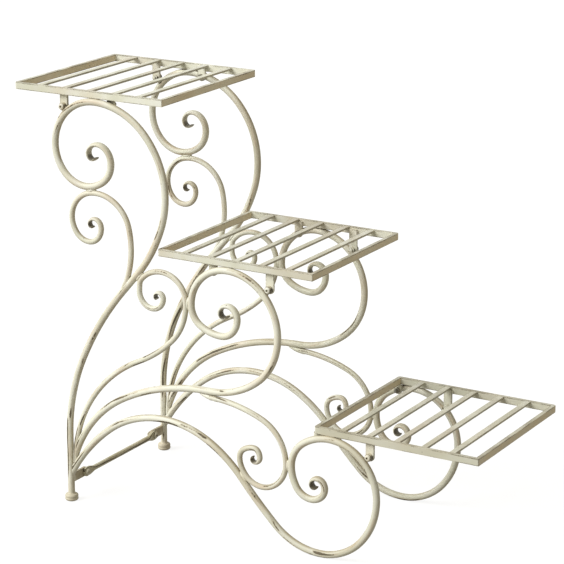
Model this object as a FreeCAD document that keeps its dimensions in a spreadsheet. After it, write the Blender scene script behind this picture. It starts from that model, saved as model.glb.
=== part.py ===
import FreeCAD, Part
import cmath
import math
import os
import Sketcher
from FreeCAD import Placement, Rotation, Vector

doc = FreeCAD.newDocument("PlantStand")

# Driving dimensions, in millimetres and degrees. Lengths along the stand start at the top shelf's rear end,
# and heights start at the floor.
sizes = {
    # Shelves: a rim of flat bar on edge with flat slats across it
    "shelf_length": 250,
    "shelf_depth": 250,
    "rail_height": 10,
    "rail_thickness": 6,
    "rail_bend": 4,
    "rail_inner_bend": 1,
    "slat_count": 5,
    "slat_width": 9,
    "slat_thickness": 3,
    "top_height": 620,
    "middle_height": 407,
    "low_height": 191,
    "middle_start": 239,
    "low_start": 492,
    # Rods of the side frames
    "rod_diameter": 10,
    "curl_rod_diameter": 8,
    "rod_tip_width": 14,
    "rod_tip_thickness": 3.6,
    "rod_tip_radius": 4.5,
    "curl_tip_width": 11,
    "curl_tip_thickness": 3,
    "curl_tip_radius": 3.6,
    # Rear leg and foot
    "leg_inset": 80,
    "leg_straight": 100,
    "foot_diameter": 20,
    "foot_height": 9,
    "foot_rounding": 3,
    "foot_socket": 6,
    # Waist of the tall scroll, set off from the middle shelf's rear end
    "waist_offset": 60,
    "waist_drop": 71,
    "waist_heading": 49,
    "waist_length": 39,
    "neck_clearance": 4,
    "neck_heading": 61,
    # Top loop, quarter by quarter from its crown under the top shelf
    "top_crown": 136,
    "top_flank_reach": 117,
    "top_flank_share": 0.39,
    "top_side_reach": 68,
    "top_side_drop": 67,
    "top_floor_reach": 52,
    "top_floor_drop": 56,
    "top_inner_reach": 43,
    "top_inner_rise": 37,
    "top_roll_radius": 31,
    "top_roll_turn": 330,
    # Middle loop, from its crown under the middle shelf
    "middle_crown": 114,
    "middle_flank_reach": 81,
    "middle_flank_drop": 85,
    "middle_side_reach": 59,
    "middle_side_drop": 58,
    "middle_floor_reach": 49,
    "middle_floor_drop": 38,
    "middle_inner_reach": 26,
    "middle_inner_rise": 28,
    "middle_roll_radius": 20,
    "middle_roll_turn": 330,
    "middle_root_height": 69,
    "middle_root_heading": 72,
    "branch_offset": 85,
    "branch_height": 212,
    "branch_heading": 0,
    # Low loop, from its crown under the low shelf, and the arch before it
    "low_crown": 24,
    "low_flank_reach": 74,
    "low_flank_drop": 76,
    "low_side_reach": 60,
    "low_side_drop": 50,
    "low_floor_reach": 32,
    "low_floor_drop": 43,
    "low_inner_reach": 21,
    "low_inner_rise": 19,
    "low_roll_radius": 15,
    "low_roll_turn": 290,
    "low_root_height": 40,
    "low_root_heading": 61,
    "arch_crest": 247,
    "arch_height": 156,
    "dip_offset": 117,
    "dip_height": 92,
    "dip_slope": 50,
    "rest_offset": 8,
    # Upper curl, hung under the top loop
    "upper_root_drop": 4,
    "upper_root_heading": 60,
    "upper_weld_turn": 8,
    "upper_side_reach": 34,
    "upper_side_drop": 39,
    "upper_floor_reach": 29,
    "upper_floor_drop": 33,
    "upper_inner_reach": 21,
    "upper_inner_rise": 22,
    "upper_roll_radius": 15,
    "upper_roll_turn": 280,
    # Middle curl, between the tall scroll and the middle loop
    "sweep_root_height": 60,
    "sweep_reach": 204,
    "sweep_height": 236,
    "sweep_heading": 25,
    "sweep_side_reach": 4,
    "sweep_side_drop": 18,
    "sweep_floor_reach": 22,
    "sweep_floor_drop": 23,
    "sweep_inner_reach": 18,
    "sweep_inner_rise": 17,
    "sweep_roll_radius": 9,
    "sweep_roll_turn": 250,
    # Lower curl, in the dip of the low scroll
    "lower_side_reach": 10,
    "lower_side_rise": 25,
    "lower_top_reach": 23,
    "lower_top_rise": 18,
    "lower_inner_reach": 10,
    "lower_inner_drop": 13,
    "lower_roll_radius": 9,
    "lower_roll_turn": 220,
    # Fixings of the shelves
    "tab_width": 13,
    "tab_thickness": 3,
    "eye_diameter": 10.5,
    "eye_neck": 8,
    "head_clearance": 0.5,
    "top_short_offset": 25,
    "middle_short_offset": -26,
    "screw_diameter": 5,
    "screw_head_diameter": 9.5,
    "screw_head_top": 6.5,
    "screw_head_height": 3,
    "screw_end": 2,
    "thread_depth": 7,
    "thread_clearance": 0.5,
    "nut_width": 8,
    "nut_height": 4,
    "hole_clearance": 0.4,
    # Cross bar between the rear legs
    "bar_height": 34,
    "bar_diameter": 8,
    "bar_lug_reach": 33,
    "bar_lug_height": 14,
    "bar_lug_thickness": 4,
    "bar_paddle_thickness": 4,
    "bar_paddle_neck": 5,
}
sheet = doc.addObject("Spreadsheet::Sheet", "Sizes")
for row, (name, value) in enumerate(sizes.items(), start=1):
    sheet.set(f"A{row}", name)
    sheet.set(f"B{row}", str(value))
    sheet.setAlias(f"B{row}", name)
doc.recompute()


def size(name):
    return float(sheet.get(name))


def add(kind, name, **bindings):
    item = doc.addObject(kind, name)
    for prop, expression in bindings.items():
        item.setExpression(prop, expression)
    return item


def combine(kind, name, base, tool):
    item = doc.addObject(kind, name)
    item.Base = base
    item.Tool = tool
    return item


# The origin is on the floor under the middle of the stand. The side frames lie in two planes parallel to XZ,
# with the rods flush with the inner face of the rims.
half_length = (size("low_start") + size("shelf_length")) / 2
half_depth = size("shelf_depth") / 2
rod = size("rod_diameter")
curl_rod = size("curl_rod_diameter")
weld_distance = (rod + curl_rod) / 2
inner_face = half_depth - size("rail_thickness")
frame_plane = inner_face + rod / 2
sides = {"front": -1, "back": 1}
shelves = {
    "top": (0, size("top_height")),
    "middle": (size("middle_start"), size("middle_height")),
    "low": (size("low_start"), size("low_height")),
}
nodes = {}


# Rod paths are chains of stations, each a point of the XZ plane with a heading, joined by pairs of arcs.
def station(along, height, heading):
    return Vector(along - half_length, 0, height), heading


def moved(place, along, height, heading):
    return place[0] + Vector(along, 0, height), heading


def direction(heading):
    angle = math.radians(heading)
    return Vector(math.cos(angle), 0, math.sin(angle))


def beside(place, distance, reverse=False):
    turned = place[1] + 180 if reverse else place[1]
    return place[0] + direction(place[1] + 90) * distance, turned


def joint_between(start, end):
    chord = end[0] - start[0]
    first = direction(start[1])
    last = direction(end[1])
    along = chord.dot(first + last)
    spread = 2 * (1 - first.dot(last))
    if spread < 1e-9:
        reach = chord.dot(chord) / (2 * along)
    else:
        reach = (math.sqrt(along ** 2 + spread * chord.dot(chord)) - along) / spread
    leave = start[0] + first * reach
    arrive = end[0] - last * reach
    lean = arrive - leave
    return (leave + arrive) * 0.5, math.degrees(math.atan2(lean.z, lean.x))


def partway(start, end, turn):
    joint, joint_heading = joint_between(start, end)
    bend = (joint_heading - start[1] + 180) % 360 - 180
    radius = joint.distanceToPoint(start[0]) / (2 * math.sin(math.radians(bend) / 2))
    centre = start[0] + direction(start[1] + 90) * radius
    return centre + direction(start[1] + turn - 90) * radius, start[1] + turn


def arc_edge(start, end):
    chord = end[0] - start[0]
    chord_heading = math.degrees(math.atan2(chord.z, chord.x))
    bend = (start[1] - chord_heading + 180) % 360 - 180
    if abs(bend) < 1e-6:
        return Part.LineSegment(start[0], end[0]).toShape()
    bulge = chord.Length / 2 * math.tan(math.radians(bend) / 2)
    middle = (start[0] + end[0]) * 0.5 + direction(chord_heading + 90) * bulge
    return Part.Arc(start[0], middle, end[0]).toShape()


def path_wire(stations):
    edges = []
    for start, end in zip(stations, stations[1:]):
        joint = joint_between(start, end)
        edges.append(arc_edge(start, joint))
        edges.append(arc_edge(joint, end))
    return Part.Wire(edges)


def round_section(place, width, thickness):
    section = Part.Ellipse(place[0], width / 2, thickness / 2)
    section.Axis = direction(place[1])
    section.XAxis = Vector(0, 1, 0)
    return Part.Wire(section.toShape())


# The end of a rod winds inwards on a shrinking spiral while it is hammered from round to flat.
def rolled_end(start, diameter, first_radius, last_radius, turn, tip_width, tip_thickness):
    section_step = 20
    steps = math.ceil(abs(turn) / section_step)
    whole = math.radians(abs(turn))
    rate = math.log(first_radius / last_radius) / whole
    spiral = complex(-rate, math.copysign(1, turn))
    sections = []
    for step in range(steps + 1):
        swept = whole * step / steps
        facing = cmath.exp(1j * math.radians(start[1]))
        offset = first_radius * facing * (cmath.exp(spiral * swept) - 1) / spiral
        share = (1 - math.exp(-rate * swept)) / (1 - math.exp(-rate * whole))
        place = moved(start, offset.real, offset.imag, start[1] + turn * step / steps)
        width = diameter + (tip_width - diameter) * share
        thickness = diameter + (tip_thickness - diameter) * share
        sections.append(round_section(place, width, thickness))
    return Part.makeLoft(sections, True, False)


def bent_rod(stations, diameter, end_shape):
    profile = round_section(stations[0], diameter, diameter)
    body = path_wire(stations).makePipeShell([profile], True, False)
    return body.fuse(end_shape).removeSplitter()


def thick_rod(stations, name):
    tip = rolled_end(stations[-1], rod, size(f"{name}_roll_radius"), size("rod_tip_radius"),
                     size(f"{name}_roll_turn"), size("rod_tip_width"), size("rod_tip_thickness"))
    return bent_rod(stations, rod, tip)


def thin_rod(stations, name, hand):
    tip = rolled_end(stations[-1], curl_rod, size(f"{name}_roll_radius"), size("curl_tip_radius"),
                     hand * size(f"{name}_roll_turn"), size("curl_tip_width"), size("curl_tip_thickness"))
    return bent_rod(stations, curl_rod, tip)


# The tall scroll passes the middle shelf's rear end at its neck, and the top loop's flank is a share of the
# way up from there to the loop's crown.
neck = station(size("middle_start") - size("neck_clearance") - rod / 2,
               size("middle_height") - size("rail_height") / 2, size("neck_heading"))


def loop(name):
    start, shelf_top = shelves[name]
    crown = station(start + size(f"{name}_crown"), shelf_top - size("rail_height") - rod / 2, 180)
    if name == "top":
        flank_height = neck[0].z + (crown[0].z - neck[0].z) * size("top_flank_share")
    else:
        flank_height = crown[0].z - size(f"{name}_flank_drop")
    flank = moved(crown, size(f"{name}_flank_reach"), flank_height - crown[0].z, 90)
    side = moved(crown, -size(f"{name}_side_reach"), -size(f"{name}_side_drop"), 270)
    floor = moved(side, size(f"{name}_floor_reach"), -size(f"{name}_floor_drop"), 360)
    inner = moved(floor, size(f"{name}_inner_reach"), size(f"{name}_inner_rise"), 450)
    return {"flank": flank, "crown": crown, "side": side, "floor": floor, "inner": inner}


loops = {name: loop(name) for name in shelves}
leg = size("leg_inset")
waist = station(size("middle_start") - size("waist_offset"), size("middle_height") - size("waist_drop"),
                size("waist_heading"))
waist_end = (waist[0] + direction(waist[1]) * size("waist_length"), waist[1])
branch = station(size("middle_start") + size("branch_offset"), size("branch_height"), size("branch_heading"))
dip = station(size("low_start") - size("dip_offset"), size("dip_height"), -size("dip_slope"))


def trimmed(shape, limit):
    reach = 2 * half_length
    waste = Part.makeBox(reach, reach, reach, Vector(limit - half_length - reach, -reach / 2, 0))
    return shape.cut(waste)


def tall_scroll():
    foot_end = station(leg, size("foot_height") - size("foot_socket"), 90)
    bend_start = station(leg, size("leg_straight"), 90)
    stations = [foot_end, bend_start, waist, waist_end, neck, *loops["top"].values()]
    return thick_rod(stations, "top")


def middle_scroll():
    flank = leg + rod / 2 + curl_rod
    root = station(flank - rod / 2, size("middle_root_height"), size("middle_root_heading"))
    return trimmed(thick_rod([root, branch, *loops["middle"].values()], "middle"), flank)


def low_scroll():
    flank = leg + rod / 2
    root = station(flank - rod / 2, size("low_root_height"), size("low_root_heading"))
    crest = station(size("arch_crest"), size("arch_height"), 0)
    rest = station(size("low_start") + size("rest_offset"), rod / 2, 0)
    return trimmed(thick_rod([root, crest, dip, rest, *loops["low"].values()], "low"), flank)


def upper_curl():
    root = (waist[0] - direction(waist[1]) * size("upper_root_drop"), size("upper_root_heading"))
    touch = partway(loops["top"]["floor"], loops["top"]["inner"], size("upper_weld_turn"))
    crown = beside(touch, -weld_distance, reverse=True)
    side = moved(crown, -size("upper_side_reach"), -size("upper_side_drop"), 270)
    floor = moved(side, size("upper_floor_reach"), -size("upper_floor_drop"), 360)
    inner = moved(floor, size("upper_inner_reach"), size("upper_inner_rise"), 450)
    return thin_rod([root, crown, side, floor, inner], "upper", 1)


def middle_curl():
    root = station(leg + weld_distance, size("sweep_root_height"), 90)
    sweep = station(size("sweep_reach"), size("sweep_height"), size("sweep_heading"))
    flank = moved(loops["middle"]["side"], -weld_distance, 0, 90)
    weld = beside(waist_end, -weld_distance, reverse=True)
    side = moved(weld, -size("sweep_side_reach"), -size("sweep_side_drop"), 270)
    floor = moved(side, size("sweep_floor_reach"), -size("sweep_floor_drop"), 360)
    inner = moved(floor, size("sweep_inner_reach"), size("sweep_inner_rise"), 450)
    return thin_rod([root, sweep, flank, weld, side, floor, inner], "sweep", 1)


def lower_curl():
    flank = moved(loops["low"]["side"], -weld_distance, 0, 270)
    weld = beside(dip, weld_distance, reverse=True)
    side = moved(weld, -size("lower_side_reach"), size("lower_side_rise"), 90)
    top = moved(side, size("lower_top_reach"), size("lower_top_rise"), 0)
    inner = moved(top, size("lower_inner_reach"), -size("lower_inner_drop"), -90)
    return thin_rod([beside(branch, -weld_distance), flank, weld, side, top, inner], "lower", -1)


# Each shelf side has a long tab on an eye lug at the loop's flank, and a short tab on the rod by its crown.
def long_fixing(name):
    ends = ("crown", "side") if name == "top" else ("flank", "crown")
    point, heading = joint_between(loops[name][ends[0]], loops[name][ends[1]])
    offset = (rod + size("screw_head_diameter")) / 2 + size("head_clearance")
    return point, point + direction(heading - 90) * offset, heading


def short_fixing(name):
    crown = loops[name]["crown"]
    if name == "low":
        offset = size("rail_thickness") / 2 - size("low_crown")
    else:
        offset = size(f"{name}_short_offset")
    ends = ("flank", "crown") if offset > 0 else ("crown", "side")
    quarter = path_wire([loops[name][ends[0]], loops[name][ends[1]]])
    plumb = Part.makeLine(crown[0] + Vector(offset, 0, rod), crown[0] + Vector(offset, 0, -size("tab_width")))
    return quarter.distToShape(plumb)[1][0][0]


def across(side):
    return Rotation(Vector(1, 0, 0), 90 * side)


# The screw of a short tab goes into a blind hole in the inner side of the rod.
def drilled(shape, point, side):
    radius = (size("screw_diameter") + size("hole_clearance")) / 2
    depth = size("thread_depth") + size("thread_clearance")
    inwards = Vector(0, -side, 0)
    bottom = point + inwards * (rod / 2 - depth)
    return shape.cut(Part.makeCylinder(radius, rod, bottom, inwards))


# The feathered roots of the rods are shaped to the rods that they are welded to.
rod_shapes = {"tall_scroll": tall_scroll(), "low_scroll": low_scroll(), "lower_curl": lower_curl()}
rod_shapes["upper_curl"] = upper_curl().cut(rod_shapes["tall_scroll"])
rod_shapes["middle_curl"] = middle_curl().cut(rod_shapes["low_scroll"])
rod_shapes["middle_scroll"] = middle_scroll().cut(rod_shapes["middle_curl"]).cut(rod_shapes["low_scroll"])
loop_rods = {"top": "tall_scroll", "middle": "middle_scroll", "low": "low_scroll"}
for side_name, side in sides.items():
    side_shapes = dict(rod_shapes)
    for name, rod_name in loop_rods.items():
        side_shapes[rod_name] = drilled(rod_shapes[rod_name], short_fixing(name), side)
    for rod_name, shape in side_shapes.items():
        item = doc.addObject("Part::Feature", f"{side_name}_{rod_name}")
        item.Shape = shape
        item.Placement = Placement(Vector(0, side * frame_plane, 0), Rotation())
        nodes[f"{side_name}_{rod_name}"] = item
doc.recompute()


def rectangle(sketch, length, depth, inset=None):
    corners = [Vector(1, 1, 0), Vector(2, 1, 0), Vector(2, 2, 0), Vector(1, 2, 0)]
    for start, end in zip(corners, corners[1:] + corners[:1]):
        sketch.addGeometry(Part.LineSegment(start, end), False)
    for line in range(4):
        sketch.addConstraint(Sketcher.Constraint("Coincident", line, 2, (line + 1) % 4, 1))
    for line in (0, 2):
        sketch.addConstraint(Sketcher.Constraint("Horizontal", line))
        sketch.addConstraint(Sketcher.Constraint("Vertical", line + 1))
    measures = [("DistanceX", (0, 1, 0, 2), length), ("DistanceY", (1, 1, 1, 2), depth)]
    if inset is None:
        sketch.addConstraint(Sketcher.Constraint("Coincident", 0, 1, -1, 1))
    else:
        measures.append(("DistanceX", (-1, 1, 0, 1), inset))
        measures.append(("DistanceY", (-1, 1, 0, 1), inset))
    for kind, ends, expression in measures:
        index = sketch.addConstraint(Sketcher.Constraint(kind, *ends, 1.0))
        sketch.setExpression(f"Constraints[{index}]", expression)


def flat_sketch(body, name):
    sketch = body.newObject("Sketcher::SketchObject", name)
    plane = next(item for item in body.Origin.OriginFeatures if item.Role == "XY_Plane")
    sketch.AttachmentSupport = [(plane, "")]
    sketch.MapMode = "FlatFace"
    return sketch


def upright_edges(shape, corners):
    names = []
    for index, edge in enumerate(shape.Edges, start=1):
        low, high = edge.Vertexes[0].Point, edge.Vertexes[-1].Point
        upright = abs(low.x - high.x) + abs(low.y - high.y) < 1e-6
        if upright and any(math.dist((low.x, low.y), corner) < 1e-6 for corner in corners):
            names.append(f"Edge{index}")
    return names


def bend_corners(body, name, inset, radius):
    length, depth = size("shelf_length"), size("shelf_depth")
    corners = [(inset, inset), (inset, depth - inset), (length - inset, depth - inset)]
    base = body.Tip
    fillet = body.newObject("PartDesign::Fillet", name)
    fillet.Base = (base, upright_edges(base.Shape, corners))
    fillet.setExpression("Radius", radius)
    doc.recompute()


# A rim is one bar bent round three corners, with the welded fourth corner square.
def rim(name):
    start, shelf_top = shelves[name]
    body = doc.addObject("PartDesign::Body", f"{name}_rim")
    outline = flat_sketch(body, f"{name}_rim_outline")
    rectangle(outline, "Sizes.shelf_length", "Sizes.shelf_depth")
    bar = body.newObject("PartDesign::Pad", f"{name}_rim_bar")
    bar.Profile = outline
    bar.setExpression("Length", "Sizes.rail_height")
    doc.recompute()
    opening = flat_sketch(body, f"{name}_rim_opening")
    rectangle(opening, "Sizes.shelf_length - 2 * Sizes.rail_thickness",
              "Sizes.shelf_depth - 2 * Sizes.rail_thickness", "Sizes.rail_thickness")
    hollow = body.newObject("PartDesign::Pocket", f"{name}_rim_hollow")
    hollow.Profile = opening
    hollow.Reversed = True
    hollow.setExpression("Length", "Sizes.rail_height")
    doc.recompute()
    if hollow.Shape.Volume > 0.5 * bar.Shape.Volume:
        raise ValueError("the rim is not hollowed out")
    bend_corners(body, f"{name}_rim_bends", 0, "Sizes.rail_bend")
    bend_corners(body, f"{name}_rim_inner_bends", size("rail_thickness"), "Sizes.rail_inner_bend")
    body.Placement.Base = Vector(start - half_length, -half_depth, shelf_top - size("rail_height"))
    return body


def slat(name, number):
    start, shelf_top = shelves[name]
    item = add("Part::Box", f"{name}_slat_{number}", Length="Sizes.slat_width", Height="Sizes.slat_thickness",
               Width="Sizes.shelf_depth - 2 * Sizes.rail_thickness")
    centre = start + size("shelf_length") * number / (size("slat_count") + 1)
    item.Placement.Base = Vector(centre - size("slat_width") / 2 - half_length, -inner_face,
                                 shelf_top - size("slat_thickness"))
    return item


def hole_tool(name, depth, axis="z"):
    tool = add("Part::Cylinder", name, Radius="(Sizes.screw_diameter + Sizes.hole_clearance) / 2",
               Height=f"2 * {depth}")
    if axis == "x":
        tool.Placement.Rotation = Rotation(Vector(0, 1, 0), 90)
    tool.setExpression(f".Placement.Base.{axis}", f"-{depth}")
    return tool


# A tab is a round-ended strap behind the rim, made here with its hole at the origin and Z pointing inwards.
# Most are welded to the rim's inner face, and the low short ones hang under the rear rail.
def tab(node, side, point, tab_top):
    strap = add("Part::Box", f"{node}_strap", Length="Sizes.tab_width", Height="Sizes.tab_thickness")
    rise = tab_top - point.z
    strap.Width = rise
    strap.Placement.Base = Vector(-size("tab_width") / 2, 0 if side > 0 else -rise, 0)
    end = add("Part::Cylinder", f"{node}_end", Radius="Sizes.tab_width / 2", Height="Sizes.tab_thickness")
    blank = combine("Part::Fuse", f"{node}_blank", strap, end)
    item = combine("Part::Cut", node, blank, hole_tool(f"{node}_hole", "Sizes.tab_thickness"))
    item.Placement = Placement(Vector(point.x, side * inner_face, point.z), across(side))
    return item


# An eye lug is a flat ring on the inner half of the rod's depth, with a neck welded to the flank of the loop.
def eye_lug(node, side, name, rod_node):
    rod_point, centre, heading = long_fixing(name)
    ring = add("Part::Cylinder", f"{node}_ring", Radius="Sizes.eye_diameter / 2",
               Height="Sizes.rod_diameter / 2")
    neck = add("Part::Box", f"{node}_neck", Width="Sizes.eye_neck", Height="Sizes.rod_diameter / 2")
    neck.Length = centre.distanceToPoint(rod_point)
    turn = Rotation(Vector(0, 0, 1), side * (heading + 90))
    neck.Placement = Placement(turn.multVec(Vector(0, -size("eye_neck") / 2, 0)), turn)
    blank = combine("Part::Fuse", f"{node}_blank", ring, neck)
    pierced = combine("Part::Cut", f"{node}_pierced", blank, hole_tool(f"{node}_hole", "Sizes.rod_diameter"))
    pierced.Placement = Placement(Vector(centre.x, side * frame_plane, centre.z), across(side))
    return combine("Part::Cut", node, pierced, rod_node)


# Screws and nuts are made at the origin with the shank along Z and the head below it.
def screw(name, length):
    shank = add("Part::Cylinder", f"{name}_shank", Radius="Sizes.screw_diameter / 2", Height=length)
    head = add("Part::Cone", f"{name}_head", Radius1="Sizes.screw_head_top / 2",
               Radius2="Sizes.screw_head_diameter / 2", Height="Sizes.screw_head_height")
    head.setExpression(".Placement.Base.z", "-Sizes.screw_head_height")
    return combine("Part::Fuse", name, shank, head)


def nut(name):
    block = add("Part::Prism", f"{name}_block", Circumradius="Sizes.nut_width / sqrt(3)",
                Height="Sizes.nut_height")
    block.Polygon = 6
    bore = add("Part::Cylinder", f"{name}_bore", Radius="Sizes.screw_diameter / 2", Height="Sizes.nut_height")
    return combine("Part::Cut", name, block, bore)


def group(name, items):
    node = doc.addObject("Part::Compound", name)
    node.Links = items
    nodes[name] = node


def foot(node, side):
    body = doc.addObject("PartDesign::Body", f"{node}_body")
    outline = flat_sketch(body, f"{node}_outline")
    outline.addGeometry(Part.Circle(Vector(0, 0, 0), Vector(0, 0, 1), 1), False)
    outline.addConstraint(Sketcher.Constraint("Coincident", 0, 3, -1, 1))
    outline.addConstraint(Sketcher.Constraint("Diameter", 0, 2.0))
    outline.setExpression("Constraints[1]", "Sizes.foot_diameter")
    bun = body.newObject("PartDesign::Pad", f"{node}_bun")
    bun.Profile = outline
    bun.setExpression("Length", "Sizes.foot_height")
    doc.recompute()
    rounding = body.newObject("PartDesign::Fillet", f"{node}_rounding")
    rims = [f"Edge{index}" for index, edge in enumerate(bun.Shape.Edges, start=1) if edge.isClosed()]
    rounding.Base = (bun, rims)
    rounding.setExpression("Radius", "Sizes.foot_rounding")
    socket = add("Part::Cylinder", f"{node}_socket", Radius="Sizes.rod_diameter / 2",
                 Height="Sizes.foot_height")
    socket.setExpression(".Placement.Base.z", "Sizes.foot_height - Sizes.foot_socket")
    item = combine("Part::Cut", node, body, socket)
    item.Placement.Base = Vector(leg - half_length, side * frame_plane, 0)
    return item


# The flattened ends of the cross bar lie beside the lugs of the rear legs, each pair held by a bolt along X.
bar_bolt_line = frame_plane - size("bar_lug_reach")
bar_offset = (size("bar_lug_thickness") + size("bar_paddle_thickness")) / 2


def flat_ear(name, thickness, length, inwards):
    strap = add("Part::Box", f"{name}_strap", Length=f"Sizes.{thickness}", Width=length,
                Height="Sizes.bar_lug_height")
    strap.setExpression(".Placement.Base.x", f"-Sizes.{thickness} / 2")
    strap.setExpression(".Placement.Base.y", "0 mm" if inwards > 0 else f"-({length})")
    strap.setExpression(".Placement.Base.z", "-Sizes.bar_lug_height / 2")
    end = add("Part::Cylinder", f"{name}_end", Radius="Sizes.bar_lug_height / 2", Height=f"Sizes.{thickness}")
    end.Placement.Rotation = Rotation(Vector(0, 1, 0), 90)
    end.setExpression(".Placement.Base.x", f"-Sizes.{thickness} / 2")
    blank = combine("Part::Fuse", f"{name}_blank", strap, end)
    return combine("Part::Cut", f"{name}_ear", blank, hole_tool(f"{name}_hole", f"Sizes.{thickness}", "x"))


def bar_lug(node, side, leg_node):
    ear = flat_ear(node, "bar_lug_thickness", "Sizes.bar_lug_reach", side)
    ear.Placement.Base = Vector(leg - half_length, side * bar_bolt_line, size("bar_height"))
    return combine("Part::Cut", node, ear, leg_node)


def cross_bar():
    neck = size("bar_lug_height") / 2 + size("bar_paddle_neck")
    centre = Vector(leg - half_length + bar_offset, 0, size("bar_height"))
    middle = add("Part::Cylinder", "cross_bar_rod", Radius="Sizes.bar_diameter / 2")
    middle.Height = 2 * (bar_bolt_line - neck)
    middle.Placement = Placement(centre + Vector(0, neck - bar_bolt_line, 0), Rotation(Vector(1, 0, 0), -90))
    pieces = [middle]
    for side_name, side in sides.items():
        ear = flat_ear(f"cross_bar_{side_name}", "bar_paddle_thickness",
                       "Sizes.bar_lug_height / 2 + Sizes.bar_paddle_neck", -side)
        ear.Placement.Base = centre + Vector(0, side * bar_bolt_line, 0)
        pieces.append(ear)
    item = doc.addObject("Part::MultiFuse", "cross_bar")
    item.Shapes = pieces
    return item


# Long tabs are bolted through the eye lugs, and short tabs are screwed from inside into the rods.
nut_end = "Sizes.nut_height + Sizes.screw_end"
tab_face = inner_face - size("tab_thickness")
long_screws, short_screws, shelf_nuts = [], [], []
for name, (start, shelf_top) in shelves.items():
    nodes[f"{name}_rim"] = rim(name)
    for number in range(1, int(size("slat_count")) + 1):
        nodes[f"{name}_slat_{number}"] = slat(name, number)
    for side_name, side in sides.items():
        rod_node = nodes[f"{side_name}_{loop_rods[name]}"]
        nodes[f"{side_name}_{name}_eye"] = eye_lug(f"{side_name}_{name}_eye", side, name, rod_node)
        slat_floor = shelf_top - size("slat_thickness")
        point = long_fixing(name)[1]
        node = f"{side_name}_{name}_long_tab"
        nodes[node] = tab(node, side, point, slat_floor)
        bolt = screw(f"{node}_screw", f"Sizes.rod_diameter / 2 + Sizes.tab_thickness + {nut_end}")
        bolt.Placement = Placement(Vector(point.x, side * frame_plane, point.z), across(side))
        long_screws.append(bolt)
        lock = nut(f"{node}_nut")
        lock.Placement = Placement(Vector(point.x, side * tab_face, point.z), across(side))
        shelf_nuts.append(lock)
        point = short_fixing(name)
        node = f"{side_name}_{name}_short_tab"
        nodes[node] = tab(node, side, point, shelf_top - size("rail_height") if name == "low" else slat_floor)
        setscrew = screw(f"{node}_screw", "Sizes.tab_thickness + Sizes.thread_depth")
        setscrew.Placement = Placement(Vector(point.x, side * tab_face, point.z), across(-side))
        short_screws.append(setscrew)
group("long_screws", long_screws)
group("short_screws", short_screws)
group("shelf_nuts", shelf_nuts)

bar_bolts, bar_nuts = [], []
for side_name, side in sides.items():
    leg_node = nodes[f"{side_name}_tall_scroll"]
    nodes[f"{side_name}_foot"] = foot(f"{side_name}_foot", side)
    nodes[f"{side_name}_bar_lug"] = bar_lug(f"{side_name}_bar_lug", side, leg_node)
    place = Vector(leg - half_length, side * bar_bolt_line, size("bar_height"))
    towards_rear = Rotation(Vector(0, 1, 0), -90)
    bolt = screw(f"{side_name}_bar_bolt",
                 f"Sizes.bar_lug_thickness + Sizes.bar_paddle_thickness + {nut_end}")
    head_face = Vector(bar_offset + size("bar_paddle_thickness") / 2, 0, 0)
    bolt.Placement = Placement(place + head_face, towards_rear)
    bar_bolts.append(bolt)
    lock = nut(f"{side_name}_bar_nut")
    lock.Placement = Placement(place - Vector(size("bar_lug_thickness") / 2, 0, 0), towards_rear)
    bar_nuts.append(lock)
nodes["cross_bar"] = cross_bar()
group("bar_bolts", bar_bolts)
group("bar_nuts", bar_nuts)
doc.recompute()

for item in doc.Objects:
    if "Invalid" in item.State or "Error" in item.State:
        raise ValueError(f"{item.Name} failed: {item.State}")
os.makedirs("parts", exist_ok=True)
for node, item in nodes.items():
    if item.Shape.isNull() or not item.Shape.isValid():
        raise ValueError(f"{node} has no valid shape")
    item.Label = node
for item in nodes.values():
    item.Shape.exportStep(f"parts/{item.Label}.step")
print(len(nodes), "nodes")
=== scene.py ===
import bmesh
import bpy
import math
from mathutils import Matrix, Vector, noise
from mathutils.bvhtree import BVHTree


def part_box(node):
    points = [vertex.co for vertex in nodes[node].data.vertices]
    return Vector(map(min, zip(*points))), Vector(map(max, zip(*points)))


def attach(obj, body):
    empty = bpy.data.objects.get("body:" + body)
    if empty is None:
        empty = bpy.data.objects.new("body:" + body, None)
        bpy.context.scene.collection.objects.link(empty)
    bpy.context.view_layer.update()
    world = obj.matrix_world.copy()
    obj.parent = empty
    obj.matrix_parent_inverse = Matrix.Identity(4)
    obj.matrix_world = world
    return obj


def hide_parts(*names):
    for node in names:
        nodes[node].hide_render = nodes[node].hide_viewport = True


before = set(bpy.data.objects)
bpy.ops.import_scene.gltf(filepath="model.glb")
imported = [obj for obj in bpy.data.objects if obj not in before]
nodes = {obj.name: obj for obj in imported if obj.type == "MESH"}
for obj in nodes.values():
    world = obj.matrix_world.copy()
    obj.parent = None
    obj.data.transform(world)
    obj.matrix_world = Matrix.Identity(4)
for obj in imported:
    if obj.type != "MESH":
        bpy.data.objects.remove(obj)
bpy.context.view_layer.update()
scene = bpy.context.scene
scene.view_settings.view_transform = "Standard"
mm = 0.001
mergeGap = 0.005 * mm  # points this close become one
white = (1, 1, 1, 1)
sides = {"front": -1, "back": 1}
shelfNames = ("top", "middle", "low")
scrollNames = ("tall_scroll", "middle_scroll", "low_scroll")  # in the order of the shelves on them
curlNames = ("upper_curl", "middle_curl", "lower_curl")
slatNumbers = range(1, 6)
print("frame:", len(nodes), "nodes")


# a socket that takes part in sums
class Value:
    def __init__(self, owner, socket):
        self.owner = owner
        self.socket = socket

    def worked(self, operation, first, second):
        return self.owner.add("Math", {"operation": operation}, {0: first, 1: second})

    def __add__(self, other):
        return self.worked("ADD", self, other)

    def __radd__(self, other):
        return self.worked("ADD", other, self)

    def __sub__(self, other):
        return self.worked("SUBTRACT", self, other)

    def __rsub__(self, other):
        return self.worked("SUBTRACT", other, self)

    def __mul__(self, other):
        return self.worked("MULTIPLY", self, other)

    def __rmul__(self, other):
        return self.worked("MULTIPLY", other, self)


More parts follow.
